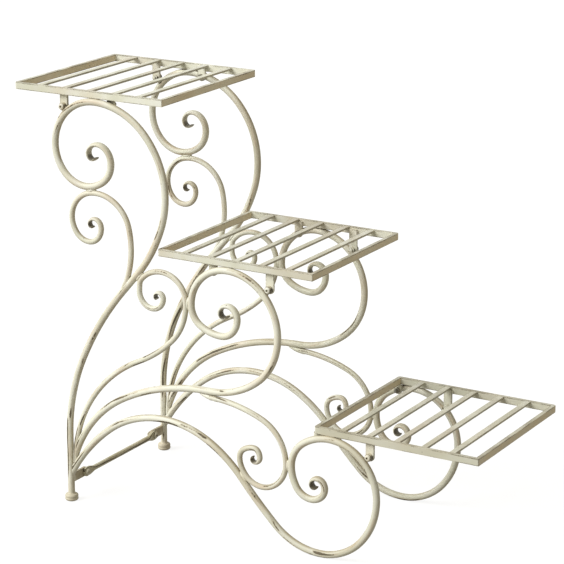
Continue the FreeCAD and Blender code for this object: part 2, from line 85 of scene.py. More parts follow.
maskLook = {"creviceSamples": 16, "edgeSamples": 12, "edgeSpan": (0.88, 0.998)}


# the nodes of one finish
class Finish:
    def __init__(self, tree):
        self.tree = tree

    def put(self, socket, value):
        if isinstance(value, Value):
            self.tree.links.new(value.socket, socket)
        else:
            socket.default_value = value

    def add(self, kind, settings, inputs, output=0):
        item = self.tree.nodes.new("ShaderNode" + kind)
        for key, value in settings.items():
            setattr(item, key, value)
        for key, value in inputs.items():
            self.put(item.inputs[key], value)
        return Value(self, item.outputs[output])

    def set(self, nodeName, inputs):
        for key, value in inputs.items():
            self.put(self.tree.nodes[nodeName].inputs[key], value)

    def at(self, axis):
        place = self.add("TexCoord", {}, {}, "Object")
        return self.add("SeparateXYZ", {}, {0: place}, axis)

    def facing(self, axis):
        normal = self.add("TexCoord", {}, {}, "Normal")
        return self.add("SeparateXYZ", {}, {0: normal}, axis)

    def cloud(self, size, detail, roughness, shift):
        place = self.add("TexCoord", {}, {}, "Object")
        moved = self.add("Mapping", {}, {"Vector": place, "Location": (shift, shift, shift)})
        settings = {"Vector": moved, "Scale": 1 / size, "Detail": detail, "Roughness": roughness}
        return self.add("TexNoise", {}, settings, "Fac")

    # rises softly from 0 at the start to 1 at the end, which may be the smaller of the two
    def step(self, value, start, end):
        ends = {"Value": value, "From Min": start, "From Max": end}
        return self.add("MapRange", {"interpolation_type": "SMOOTHSTEP"}, ends)

    def unsigned(self, value):
        return self.add("Math", {"operation": "ABSOLUTE"}, {0: value})

    def larger(self, first, second):
        return self.add("Math", {"operation": "MAXIMUM"}, {0: first, 1: second})

    # rises from 0 in the open to 1 where other surfaces crowd in within a reach
    def crevice(self, reach):
        settings = {"samples": maskLook["creviceSamples"]}
        return 1 - self.add("AmbientOcclusion", settings, {"Distance": reach}, "AO")

    # how far the surface turns within a reach, from 0 on a flat to 1 on a square edge
    def edge(self, reach):
        rounded = self.add("Bevel", {"samples": maskLook["edgeSamples"]}, {"Radius": reach})
        own = self.add("NewGeometry", {}, {}, "Normal")
        alike = self.add("VectorMath", {"operation": "DOT_PRODUCT"}, {0: rounded, 1: own}, "Value")
        return 1 - self.step(alike, *maskLook["edgeSpan"])

    def blend(self, share, first, second):
        return self.add("Mix", {"data_type": "RGBA"}, {0: share, 6: first, 7: second}, 2)

    def bump(self, height, strength, depth):
        return self.add("Bump", {}, {"Strength": strength, "Distance": depth, "Height": height})


def newFinish(name):
    material = bpy.data.materials.new(name)
    material.use_nodes = True
    return material, Finish(material.node_tree)


lineLook = {
    # rods: size, detail and roughness of the line's wander and of the side that it keeps to
    "wanderCloud": (60 * mm, 1.0, 0.5), "wanderShift": 6.4, "wanderReach": 2.2,
    "sideCloud": (90 * mm, 0.0, 0.5), "acrossShift": 2.2, "uprightShift": 9.1,
    "sideLevel": 0.45, "sideSpan": (-0.02, 0.02), "rodSpan": (0.10, 0.66),
    # cross bar
    "barCloud": (80 * mm, 1.0, 0.5, 6.4), "barReach": 1.6, "barLevel": 1.1, "barSpan": (0.10, 0.36),
    # how far from an edge flat stock, slats and small pieces are rubbed
    "flatEdge": 3.4 * mm, "slatEdge": 1.9 * mm, "smallEdge": 1.4 * mm,
}


# rods lie in upright planes, so one angle of the normal out of the plane runs along the bend
def rodLine(finish, shift=0.0):
    look = lineLook
    tilt = finish.add("Math", {"operation": "ARCSINE"}, {0: finish.unsigned(finish.facing("Y"))})
    wander = finish.cloud(*look["wanderCloud"], look["wanderShift"] + shift)
    acrossLean = finish.cloud(*look["sideCloud"], look["acrossShift"] + shift) - look["sideLevel"]
    uprightLean = finish.cloud(*look["sideCloud"], look["uprightShift"] + shift) - look["sideLevel"]
    lean = finish.facing("X") * acrossLean + finish.facing("Z") * uprightLean
    offLine = finish.step(finish.unsigned(tilt - wander * look["wanderReach"]), *look["rodSpan"])
    return (1 - offLine) * finish.step(lean, *look["sideSpan"])


# the cross bar runs between the frames, so its line is a level of the upright normal
def barLine(finish):
    look = lineLook
    wander = finish.cloud(*look["barCloud"])
    offLine = finish.unsigned(finish.facing("Z") + wander * look["barReach"] - look["barLevel"])
    return 1 - finish.step(offLine, *look["barSpan"])


def flatLine(finish):
    return finish.edge(lineLook["flatEdge"])


def slatLine(finish):
    return finish.edge(lineLook["slatEdge"])


def smallLine(finish):
    return finish.edge(lineLook["smallEdge"])


rollLook = {
    # middle of each rolled rod end along X and Z, and how far round it painted shade darkens the hollow
    "ends": {
        "tall_scroll": (-235.9, 528.3, 8.8),
        "middle_scroll": (-20.7, 328.9, 8.8),
        "low_scroll": (123.8, 105.4, 8.4),
        "upper_curl": (-240.8, 427.6, 6.8),
        "middle_curl": (-132.2, 337.3, 6.8),
        "lower_curl": (25.4, 125.8, 6.8),
    },
    "fullShare": 0.72, "inwardSpan": (-2.0 * mm, 2.5 * mm),
}


# painted shade on the inward faces of the rolled ends
def rolledEndShade(finish):
    look = rollLook
    along = finish.at("X")
    upright = finish.at("Z")
    hollow = 0.0
    for middleX, middleZ, reach in look["ends"].values():
        toX = middleX * mm - along
        toZ = middleZ * mm - upright
        distance = finish.add("Math", {"operation": "SQRT"}, {0: toX * toX + toZ * toZ})
        near = finish.step(distance, reach * mm, reach * look["fullShare"] * mm)
        inward = toX * finish.facing("X") + toZ * finish.facing("Z")
        hollow = finish.larger(hollow, near * finish.step(inward, *look["inwardSpan"]))
    return hollow


paintLook = {
    "ivory": (0.83, 0.825, 0.69, 1),
    "paleIvory": (0.875, 0.877, 0.79, 1),
    "warmWash": (0.60, 0.475, 0.335, 1),
    "greenWash": (0.60, 0.595, 0.455, 1),
    # colour of the painted shade towards the lower right
    "lowRightShadeGrey": (0.43, 0.41, 0.31, 1),
    "ochre": (0.82, 0.63, 0.33, 1),
    # glaze colour, which is also the colour of the painted shade in hollows, underneath and along rod edges
    "glazeAndShade": (0.40, 0.325, 0.195, 1),
    "olive": (0.36, 0.315, 0.165, 1),
    "umber": (0.22, 0.177, 0.095, 1),
    "iron": (0.062, 0.049, 0.026, 1),
    "rust": (0.14, 0.098, 0.048, 1),
    # colour of the painted shade in the deepest crevices and the rolled ends
    "deepShadeColour": (0.042, 0.033, 0.017, 1),
    # size, detail, roughness and shift of each cloudy pattern
    "mottleCloud": (16 * mm, 4.0, 0.6, 0.0),
    "warmCloud": (120 * mm, 3.0, 0.5, 1.3),
    "greenCloud": (84 * mm, 3.0, 0.5, 5.1),
    "dustCloud": (34 * mm, 3.0, 0.5, 7.3),
    "stainCloud": (75 * mm, 3.0, 0.55, 4.4),
    "edgeShadeCloud": (55 * mm, 3.0, 0.55, 3.1),
    "raggedCloud": (2.6 * mm, 4.0, 0.65, 0.0),
    "chipCloud": (4.2 * mm, 2.0, 0.5, 8.2),
    "grainCloud": (1.3 * mm, 2.0, 0.5, 0.0),
    # where each mask starts and where it is full
    "paleSpan": (0.36, 0.66), "warmSpan": (0.48, 0.66), "greenSpan": (0.47, 0.66), "dustSpan": (0.38, 0.62),
    "stainSpan": (0.45, 0.62), "edgeShadeSpan": (0.34, 0.58), "chipSpan": (0.75, 0.765), "rustSpan": (0.45, 0.70),
    "hollowShadeSpan": (0.30, 0.85), "deepShadeSpan": (0.60, 0.88), "thinEdge": (0.0, 0.5), "wornEdge": (0.10, 0.35),
    # the same for faces that look down, along the stand, up, and within the plane of a rod
    "underShadeSpan": (0.25, -0.9), "flankShadeSpan": (0.6, 0.95), "topSpan": (0.85, 0.97), "awaySpan": (0.80, 0.22),
    # how much of each tint shows, and how the mottle breaks it up
    "warmShare": 0.38, "greenShare": 0.50, "underShadeShare": 0.55,
    "thinShare": 0.6, "bareShare": 0.9, "deepShadeShare": 0.95,
    "shadeMottle": 0.6, "washMottle": 1.6, "washGap": 0.1, "flankShadeBase": 0.4,
    "rollShadeRagged": 0.7, "rollShadeBase": 0.5, "creviceReach": 8 * mm, "stainShift": 4.9,
    # rubbing: what the line, the patches and the ragged edges add, and the level that bares the iron
    "rubLine": 0.5, "rubPatch": 1.3, "rubRagged": 0.42, "rubLevel": 1.53, "rubFade": 0.06, "thinFade": 0.20,
    "patchGrain": (2.0, 0.45), "legReach": 100 * mm,
    # surface
    "roughness": 0.40, "mottleRough": 0.16, "wornRough": 0.15, "wornMetal": 0.3, "gloss": 0.27,
    "mottleRelief": 0.3, "grainRelief": 0.12, "wornRelief": 0.2, "bumpStrength": 0.3, "bumpDepth": 0.35 * mm,
}
wearAndShadeLook = {
    # rubbing: share, patch size, shift of the pattern and how much more by the legs
    # painted shade in hollows and underneath, washes all over, painted shade towards the low shelf and on
    # flanks, dust on tops on rods also stains along a line, painted shade along both edges and in the rolled
    # ends
    "every": {"share": 0.2, "patch": 12 * mm, "shift": 3.7, "legBias": 0.0,
              "glazeAndShade": 0.5, "wash": 0.2, "washTint": "glazeAndShade", "lowRightShade": 0.0, "lowRightShadeStart": 0.9,
              "flankShade": 0.0, "flankShadeTint": "umber", "topWash": 0.0,
              "stain": 0.0, "edgeShade": 0.0, "rolled": False},
    "rod": {"share": 0.13, "patch": 56 * mm, "legBias": 0.42, "glazeAndShade": 0.25, "lowRightShade": 1.2, "lowRightShadeStart": 0.22,
            "stain": 0.55, "edgeShade": 0.68, "rolled": True},
    "crossBar": {"share": 0.29, "patch": 60 * mm, "shift": 4.4, "wash": 0.85, "washTint": "olive"},
    "rim": {"share": 0.28, "patch": 34 * mm, "glazeAndShade": 0.18, "wash": 0.08, "lowRightShade": 0.66, "lowRightShadeStart": 0.78,
            "flankShade": 0.5, "flankShadeTint": "ochre", "topWash": 0.5},
    "slat": {"share": 0.26, "patch": 40 * mm, "shift": 1.9, "glazeAndShade": 0.25, "wash": 0.0, "lowRightShade": 0.38,
             "flankShade": 0.52, "topWash": 0.2},
    "tab": {"patch": 20 * mm, "glazeAndShade": 0.3, "wash": 0.15, "flankShade": 0.2},
    "eye": {"share": 0.30, "glazeAndShade": 0.8, "wash": 0.75, "flankShade": 1.0, "flankShadeTint": "iron"},
    "lug": {"wash": 0.95, "flankShade": 0.15},
    "foot": {"share": 0.14, "patch": 9 * mm, "wash": 0.60},
    "weld": {"share": 0.0, "glazeAndShade": 0.28, "wash": 0.15},
    "bolt": {"share": 0.24, "patch": 6 * mm, "glazeAndShade": 0.6, "flankShade": 0.95, "flankShadeTint": "iron"},
    "iron": {"share": 0.70, "patch": 6 * mm, "glazeAndShade": 0.7, "wash": 1.0, "washTint": "iron", "flankShade": 0.6},
}


# ivory in two shades, with warm and green washes in broad patches
def coatColour(finish, mottle):
    look = paintLook
    colour = finish.blend(finish.step(mottle, *look["paleSpan"]), look["ivory"], look["paleIvory"])
    warm = finish.step(finish.cloud(*look["warmCloud"]), *look["warmSpan"])
    colour = finish.blend(warm * look["warmShare"], colour, look["warmWash"])
    green = finish.step(finish.cloud(*look["greenCloud"]), *look["greenSpan"])
    return finish.blend(green * look["greenShare"], colour, look["greenWash"])


# painted shade in hollows and underneath, then the piece's washes, stains and dust, with painted shade
# towards the lower right, on flanks and along rod edges
def washedAndShadedColour(finish, wearAndShade, mottle, crevice, colour):
    look = paintLook
    # painted shade: darker in hollows, where other surfaces crowd in, and on faces that look down
    under = finish.step(finish.facing("Z"), *look["underShadeSpan"])
    hollowAndUnderShade = finish.larger(finish.step(crevice, *look["hollowShadeSpan"]), under * look["underShadeShare"])
    colour = finish.blend(hollowAndUnderShade * (mottle * look["shadeMottle"] + wearAndShade["glazeAndShade"]), colour, look["glazeAndShade"])
    washed = wearAndShade["wash"] * (mottle * look["washMottle"] - look["washGap"])
    colour = finish.blend(washed, colour, look[wearAndShade["washTint"]])
    # painted shade, darker towards the right and the bottom of the stand
    if wearAndShade["lowRightShade"]:
        lowRightShaded = (finish.at("X") - finish.at("Z") + wearAndShade["lowRightShadeStart"]) * wearAndShade["lowRightShade"]
        colour = finish.blend(lowRightShaded, colour, look["lowRightShadeGrey"])
    # painted shade on faces that turn along the stand
    flankShaded = finish.step(finish.unsigned(finish.facing("X")), *look["flankShadeSpan"])
    flankShaded = flankShaded * wearAndShade["flankShade"] * (mottle + look["flankShadeBase"])
    colour = finish.blend(flankShaded, colour, look[wearAndShade["flankShadeTint"]])
    if wearAndShade["topWash"]:
        dust = finish.step(finish.cloud(*look["dustCloud"]), *look["dustSpan"])
        dusty = finish.step(finish.facing("Z"), *look["topSpan"]) * dust
        colour = finish.blend(dusty * wearAndShade["topWash"], colour, look["umber"])
    if wearAndShade["stain"]:
        stained = finish.step(finish.cloud(*look["stainCloud"]), *look["stainSpan"])
        stained = rodLine(finish, look["stainShift"]) * stained
        colour = finish.blend(stained * wearAndShade["stain"], colour, look["warmWash"])
    # painted shade along both edges of each rod, in broad patches
    if wearAndShade["edgeShade"]:
        edgeShaded = finish.step(finish.cloud(*look["edgeShadeCloud"]), *look["edgeShadeSpan"])
        edgeShaded = finish.step(finish.unsigned(finish.facing("Y")), *look["awaySpan"]) * edgeShaded
        colour = finish.blend(edgeShaded * wearAndShade["edgeShade"], colour, look["glazeAndShade"])
    return colour


# where the paint is rubbed thin, and where it is rubbed through or chipped
def rubbedPlaces(finish, wearAndShade, line, ragged):
    look = paintLook
    patch = finish.cloud(wearAndShade["patch"], *look["patchGrain"], wearAndShade["shift"])
    patch = patch + (look["legReach"] - finish.at("X") - finish.at("Z")) * wearAndShade["legBias"]
    edge = line(finish)
    rub = edge * look["rubLine"] + patch * look["rubPatch"] + ragged * look["rubRagged"]
    level = look["rubLevel"] - wearAndShade["share"]
    full = level + look["rubFade"]
    thin = finish.step(rub, level - look["thinFade"], full) * finish.step(edge, *look["thinEdge"])
    worn = finish.step(rub, level, full) * finish.step(edge, *look["wornEdge"])
    chips = finish.step(finish.cloud(*look["chipCloud"]), *look["chipSpan"])
    return thin, finish.larger(worn, chips)


# ivory paint, washed, with painted shade in its hollows, underneath, on flanks and in its deepest crevices,
# and rubbed through along a line of the piece
def ivoryPaint(name, line, kind):
    material, finish = newFinish(name)
    look = paintLook
    wearAndShade = {**wearAndShadeLook["every"], **wearAndShadeLook[kind]}
    mottle = finish.cloud(*look["mottleCloud"])
    ragged = finish.cloud(*look["raggedCloud"])
    crevice = finish.crevice(look["creviceReach"])
    colour = washedAndShadedColour(finish, wearAndShade, mottle, crevice, coatColour(finish, mottle))
    thin, worn = rubbedPlaces(finish, wearAndShade, line, ragged)
    colour = finish.blend(thin * look["thinShare"], colour, look["glazeAndShade"])
    bare = finish.blend(finish.step(mottle, *look["rustSpan"]), look["iron"], look["rust"])
    colour = finish.blend(worn * look["bareShare"], colour, bare)
    # painted shade, near black in the deepest crevices and, on rods, inside the rolled ends
    deepShade = finish.step(crevice, *look["deepShadeSpan"])
    if wearAndShade["rolled"]:
        deepShade = finish.larger(deepShade, rolledEndShade(finish) * (ragged * look["rollShadeRagged"] + look["rollShadeBase"]))
    colour = finish.blend(deepShade * look["deepShadeShare"], colour, look["deepShadeColour"])
    grain = finish.cloud(*look["grainCloud"])
    relief = mottle * look["mottleRelief"] + grain * look["grainRelief"] - worn * look["wornRelief"]
    finish.set("Principled BSDF", {
        "Base Color": colour,
        "Roughness": look["roughness"] + mottle * look["mottleRough"] + worn * look["wornRough"],
        "Metallic": worn * look["wornMetal"],
        "Specular IOR Level": look["gloss"],
        "Normal": finish.bump(relief, look["bumpStrength"], look["bumpDepth"]),
    })
    return material


rodPaint = ivoryPaint("rodPaint", rodLine, "rod")
crossBarPaint = ivoryPaint("crossBarPaint", barLine, "crossBar")
rimPaint = ivoryPaint("rimPaint", flatLine, "rim")
slatPaint = ivoryPaint("slatPaint", slatLine, "slat")
tabPaint = ivoryPaint("tabPaint", flatLine, "tab")
eyePaint = ivoryPaint("eyePaint", smallLine, "eye")
lugPaint = ivoryPaint("lugPaint", flatLine, "lug")
footPaint = ivoryPaint("footPaint", smallLine, "foot")
weldPaint = ivoryPaint("weldPaint", smallLine, "weld")
boltPaint = ivoryPaint("boltPaint", smallLine, "bolt")
rubbedIron = ivoryPaint("rubbedIron", smallLine, "iron")
print("finishes made")


def meshObject(name, shape, material):
    mesh = bpy.data.meshes.new(name)
    shape.to_mesh(mesh)
    shape.free()
    mesh.materials.append(material)
    piece = bpy.data.objects.new(name, mesh)
    scene.collection.objects.link(piece)
    return piece


def pieceFrom(name, shape, material, replaced=()):
    for face in shape.faces:
        face.smooth = True
    piece = meshObject(name, shape, material)
    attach(piece, "root")
    if replaced:
        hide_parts(*replaced)
    return piece


def paintNode(nodeName, material):
    nodes[nodeName].data.materials.clear()
    nodes[nodeName].data.materials.append(material)


for sideName in sides:
    for rodName in scrollNames + curlNames:
        paintNode(f"{sideName}_{rodName}", rodPaint)
    for shelfName in shelfNames:
        paintNode(f"{sideName}_{shelfName}_eye", eyePaint)
print("rods and eyes painted")

easing = {
    "rim": 0.7 * mm, "slat": 0.55 * mm, "tab": 0.5 * mm, "lug": 0.6 * mm, "segments": 2,
    "merge": 0.002 * mm, "flat": math.radians(0.4), "fold": math.radians(32), "faceWeight": 80,
}


# large faces keep their flat shading, and the eased edges blend between them
def evenShading(piece):
    shading = piece.modifiers.new("evenShading", "WEIGHTED_NORMAL")
    shading.weight = easing["faceWeight"]
    shading.keep_sharp = False


# a merged copy of a frame node with its sharp edges eased
def easedPiece(nodeName, width, material):
    shape = bmesh.new()
    shape.from_mesh(nodes[nodeName].data)
    bmesh.ops.remove_doubles(shape, verts=shape.verts, dist=easing["merge"])
    bmesh.ops.dissolve_limit(shape, angle_limit=easing["flat"], verts=shape.verts, edges=shape.edges)
    sharp = [edge for edge in shape.edges if edge.is_manifold and edge.calc_face_angle(0) > easing["fold"]]
    for edge in shape.edges:
        edge.smooth = True
    bmesh.ops.bevel(shape, geom=sharp, offset=width, offset_type="OFFSET", affect="EDGES",
                    segments=easing["segments"], profile=0.5, clamp_overlap=True, material=-1)
    evenShading(pieceFrom(nodeName + ".eased", shape, material, [nodeName]))


for shelfName in shelfNames:
    easedPiece(f"{shelfName}_rim", easing["rim"], rimPaint)
    for number in slatNumbers:
        easedPiece(f"{shelfName}_slat_{number}", easing["slat"], slatPaint)
    for sideName in sides:
        for kind in ("long_tab", "short_tab"):
            easedPiece(f"{sideName}_{shelfName}_{kind}", easing["tab"], tabPaint)
for sideName in sides:
    easedPiece(f"{sideName}_bar_lug", easing["lug"], lugPaint)
print("flat stock eased")


# points of an arc after its first, which rises from its chord to the right of the way it runs
def arcPoints(first, last, rise, steps):
    first = Vector(first)
    chord = Vector(last) - first
    radius = chord.length ** 2 / rise / 8 + rise / 2
    toRight = Vector((chord.y, -chord.x)).normalized()
    centre = first + chord / 2 + toRight * (rise - radius)
    sweep = 2 * math.asin(chord.length / radius / 2)
    turns = [Matrix.Rotation(sweep * step / steps, 2) for step in range(1, steps + 1)]
    return [tuple(centre + turn @ (first - centre)) for turn in turns]


# a flat sheet for rolling up: each point with its turn round the roll and the section that it belongs to
def rolledSheet(shape, around, sections):
    last = len(sections) - 1
    bmesh.ops.create_grid(shape, x_segments=around, y_segments=last, size=1)
    for vert in shape.verts:
        yield vert, math.pi * vert.co.x, sections[round((vert.co.y + 1) / 2 * last)]


# an outline of radius and height turned round the upright, with six sides at the points that are listed
def turned(shape, outline, steps, sixSided=()):
    sixth = math.tau / 6
    for vert, turn, point in rolledSheet(shape, steps, range(len(outline))):
        radius, height = outline[point]
        if point in sixSided:
            radius /= math.cos((turn + sixth / 2) % sixth - sixth / 2)
        vert.co = Vector((math.cos(turn) * radius, math.sin(turn) * radius, height)) * mm
    bmesh.ops.remove_doubles(shape, verts=shape.verts, dist=mergeGap)
    bmesh.ops.recalc_face_normals(shape, faces=shape.faces)


footLook = {
    # radius and height of the sole's edge, the two lips of the groove, the shoulder and the neck
    "sole": (6.9, 0), "lowerLip": (9.35, 5.1), "upperLip": (9.35, 5.3),
    "shoulder": (6.5, 10.4), "neck": (4.9, 13.4),
    "lowerRise": 1.7, "upperRise": 1.75, "neckRise": -0.4, "arcSteps": 6, "steps": 48,
}


def footOutline():
    look = footLook
    outline = [(0, 0), look["sole"]]
    outline += arcPoints(look["sole"], look["lowerLip"], look["lowerRise"], look["arcSteps"])
    outline += [look["upperLip"]]
    outline += arcPoints(look["upperLip"], look["shoulder"], look["upperRise"], look["arcSteps"])
    outline += arcPoints(look["shoulder"], look["neck"], look["neckRise"], look["arcSteps"])
    return outline + [(0, look["neck"][1])]


for sideName in sides:
    low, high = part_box(f"{sideName}_foot")
    shape = bmesh.new()
    turned(shape, footOutline(), footLook["steps"])
    bmesh.ops.translate(shape, verts=shape.verts, vec=((low.x + high.x) / 2, (low.y + high.y) / 2, low.z))
    pieceFrom(f"{sideName}_foot.bun", shape, footPaint, [f"{sideName}_foot"])
print("feet turned")

barLook = {
    # flat round ends are drawn down to the round bar between neckStart and neckEnd
    "endRadius": 7.0, "endHalf": 2.0, "endSquare": 7, "barRadius": 4.0, "barSquare": 2,
    "neckStart": 11.5, "neckEnd": 26.0, "endSteps": 6, "neckSteps": 6, "around": 40,
}


# half thickness, half height and squareness at a distance from the end
def barSection(distance):
    look = barLook
    share = (distance - look["neckStart"]) / (look["neckEnd"] - look["neckStart"])
    share = min(max(share, 0), 1)
    share = share * share * (3 - 2 * share)  # a soft start and a soft end
    rounding = math.sqrt(1 - max(1 - distance / look["endRadius"], 0) ** 2)
    halfThick = look["endHalf"] + (look["barRadius"] - look["endHalf"]) * share
    halfHigh = look["endRadius"] + (look["barRadius"] - look["endRadius"]) * share
    square = look["endSquare"] + (look["barSquare"] - look["endSquare"]) * share
    return halfThick, halfHigh * rounding, square


# distances of the sections from the end, close together where the end is round
def barDistances():
    look = barLook
    stepAngle = math.pi / 2 / (look["endSteps"] + 0.5)
    angles = [stepAngle * (step + 0.5) for step in range(look["endSteps"] + 1)]
    neckStep = (look["neckEnd"] - look["neckStart"]) / look["neckSteps"]
    neck = [look["neckStart"] + neckStep * step for step in range(look["neckSteps"] + 1)]
    return [look["endRadius"] * (1 - math.cos(angle)) for angle in angles] + neck


# one sheet rolled into a bar whose section goes from flat to round and back
def crossBar():
    low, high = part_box("cross_bar")
    centre = (low + high) / 2
    half = (high.y - low.y) / 2 / mm
    sections = [(distance - half, *barSection(distance)) for distance in barDistances()]
    sections += [(-place, *rest) for place, *rest in reversed(sections)]
    shape = bmesh.new()
    for vert, turn, section in rolledSheet(shape, barLook["around"], sections):
        place, halfThick, halfHigh, square = section
        reach = (abs(math.cos(turn)) ** square + abs(math.sin(turn)) ** square) ** (-1 / square)
        spot = Vector((math.cos(turn) * reach * halfThick, place, math.sin(turn) * reach * halfHigh))
        vert.co = centre + spot * mm
    bmesh.ops.remove_doubles(shape, verts=shape.verts, dist=mergeGap)
    bmesh.ops.holes_fill(shape, edges=shape.edges, sides=0)
    bmesh.ops.recalc_face_normals(shape, faces=shape.faces)
    pieceFrom("cross_bar.forged", shape, crossBarPaint, ["cross_bar"])


crossBar()
print("cross bar forged")

boltLook = {
    "headRadius": 4.75, "headHeight": 3.0, "lip": 0.3, "crownRadius": 2.2, "crownRise": 0.8, "crownSteps": 6,
    "socketWidth": 3.2, "socketDepth": 1.6, "socketEase": 0.05, "socketTaper": 0.97, "drillPoint": 0.3,
    "nutWidth": 8.0, "nutHeight": 4.0, "nutEase": 0.45, "nutSegments": 2,
    "shankRadius": 2.5, "threadDepth": 0.35, "pitch": 0.8, "tipEase": 0.5, "round": 24,
    "eyeDepth": 5.0,  # an eye lies between a long tab and the head of its screw
    "endLength": 2.0, "shortTabEnd": 4.8,  # how far threads stand out of their nuts
}
fastenerPaint = {
    "long_screws": boltPaint, "short_screws": rubbedIron, "shelf_nuts": boltPaint,
    "bar_bolts": tabPaint, "bar_nuts": lugPaint,
}


# puts a part made at the origin into a shape, with its foot at the place and its top along the direction
def addTo(shape, part, place, direction):
    turn = Vector(direction).to_track_quat("Z", "Y").to_matrix().to_4x4()
    bmesh.ops.transform(part, matrix=Matrix.Translation(place) @ turn, verts=part.verts)
    mesh = bpy.data.meshes.new("part")
    part.to_mesh(mesh)
    part.free()
    shape.from_mesh(mesh)
    bpy.data.meshes.remove(mesh)


# a button head with a six-sided socket
def buttonHead(shape, place, direction):
    look = boltLook
    top = look["headHeight"]
    edge = (look["headRadius"], look["lip"])
    outline = [(0, 0), (look["headRadius"] - look["lip"] / 2, 0), edge]
    outline += arcPoints(edge, (look["crownRadius"], top), look["crownRise"], look["crownSteps"])
    socket = look["socketWidth"] / 2
    socketWall = (len(outline), len(outline) + 1)
    outline += [
        (socket, top - look["socketEase"]),
        (socket * look["socketTaper"], top - look["socketDepth"]),
        (0, top - look["socketDepth"] - look["drillPoint"]),
    ]
    part = bmesh.new()
    turned(part, outline, look["round"], socketWall)
    addTo(shape, part, place, direction)


def hexNut(shape, place, direction):
    look = boltLook
    part = bmesh.new()
    radius = look["nutWidth"] / math.sqrt(3) * mm
    bmesh.ops.create_cone(part, cap_ends=True, segments=6, radius1=radius, radius2=radius,
                          depth=look["nutHeight"] * mm)
    bmesh.ops.translate(part, verts=part.verts, vec=(0, 0, look["nutHeight"] / 2 * mm))
    bmesh.ops.bevel(part, geom=part.edges[:], offset=look["nutEase"] * mm, offset_type="OFFSET",
                    affect="EDGES", segments=look["nutSegments"], profile=0.5,
                    clamp_overlap=True, material=-1)
    addTo(shape, part, place, direction)


def threadedEnd(shape, place, direction, length):
    look = boltLook
    outer = look["shankRadius"]
    pitch = look["pitch"]
    outline = [(0, 0), (outer, 0)]
    for ring in range(round(length / pitch)):
        outline += [(outer - look["threadDepth"], (ring + 0.5) * pitch), (outer, (ring + 1) * pitch)]
    outline[-1] = (outer - look["tipEase"], length)
    part = bmesh.new()
    turned(part, outline + [(0, length)], look["round"])
    addTo(shape, part, place, direction)


# a nut at the place and the bolt's threaded end beyond it
def nutAndEnd(nuts, bolts, place, direction, length):
    hexNut(nuts, place, direction)
    threadedEnd(bolts, place + Vector(direction) * boltLook["nutHeight"] * mm, direction, length)


# where a box ends towards the front, -1, or the back, 1
def faceOf(low, high, side):
    return low.y if side < 0 else high.y


# the middle of the hole in a tab's round foot, and where the tab's inner and outer faces lie
def tabHole(nodeName, side):
    low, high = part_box(nodeName)
    radius = (high.x - low.x) / 2
    hole = Vector(((low.x + high.x) / 2, 0, low.z + radius))
    return hole, faceOf(low, high, -side), faceOf(low, high, side)


def shelfFasteners(shapes, sideName, side, shelfName):
    inwards = (0, -side, 0)
    outwards = (0, side, 0)
    hole, inner, outer = tabHole(f"{sideName}_{shelfName}_long_tab", side)
    headSeat = hole + Vector((0, outer + side * boltLook["eyeDepth"] * mm, 0))
    nutSeat = hole + Vector((0, inner, 0))
    buttonHead(shapes["long_screws"], headSeat, outwards)
    nutAndEnd(shapes["shelf_nuts"], shapes["long_screws"], nutSeat, inwards, boltLook["endLength"])
    hole, inner, outer = tabHole(f"{sideName}_{shelfName}_short_tab", side)
    nutSeat = hole + Vector((0, inner, 0))
    nutAndEnd(shapes["short_screws"], shapes["short_screws"], nutSeat, inwards, boltLook["shortTabEnd"])


def barFasteners(shapes, sideName, side):
    lugLow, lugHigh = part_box(f"{sideName}_bar_lug")
    barLow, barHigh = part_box("cross_bar")
    halfHeight = (lugHigh.z - lugLow.z) / 2
    depth = faceOf(lugLow, lugHigh, -side) + side * halfHeight
    barFace = (barLow.x + barHigh.x) / 2 + barLook["endHalf"] * mm
    headSeat = Vector((barFace, depth, lugLow.z + halfHeight))
    nutSeat = Vector((lugLow.x, depth, lugLow.z + halfHeight))
    buttonHead(shapes["bar_bolts"], headSeat, (1, 0, 0))
    nutAndEnd(shapes["bar_nuts"], shapes["bar_bolts"], nutSeat, (-1, 0, 0), boltLook["endLength"])


fasteners = {nodeName: bmesh.new() for nodeName in fastenerPaint}
for sideName, side in sides.items():
    for shelfName in shelfNames:
        shelfFasteners(fasteners, sideName, side, shelfName)
    barFasteners(fasteners, sideName, side)
for nodeName, shape in fasteners.items():
    evenShading(pieceFrom(nodeName + ".turned", shape, fastenerPaint[nodeName], [nodeName]))
print("bolts and nuts made")

weldLook = {
    # half length, half width and half depth of each bead
    "rod": (9.0, 2.9, 3.9), "feather": (17.0, 3.5, 3.8), "slat": (4.3, 1.4, 1.5), "tab": (3.3, 1.3, 1.4),
    "eye": (3.8, 1.6, 2.3), "lug": (6.0, 1.7, 1.7), "corner": (4.4, 1.3, 1.3),
    # rods this near each other are welded, and touching points within the spread are one weld
    "reach": 0.8 * mm, "spread": 16 * mm, "rootHeight": 120 * mm, "rootBand": 3 * mm,
    # how far beads sink in, how far they lie below a tab's top, and where a tab only hangs under the rail
    "sink": 0.4 * mm, "tabSink": 0.3 * mm, "tabDrop": 3.5 * mm, "underRail": 6 * mm, "cornerInset": 6.2 * mm,
    "lump": 0.14, "lumpSize": 4 * mm, "lumpDetail": 1.6, "ripple": 0.05, "ripples": 9, "subdivisions": 3,
}
# a curl, the rod that it lies against and how many welds hold it there
rodWelds = (("upper_curl", "tall_scroll", 1), ("middle_curl", "tall_scroll", 1),
            ("middle_curl", "middle_scroll", 1), ("lower_curl", "low_scroll", 2))
xAxis = (1, 0, 0)
yAxis = (0, 1, 0)
zAxis = (0, 0, 1)


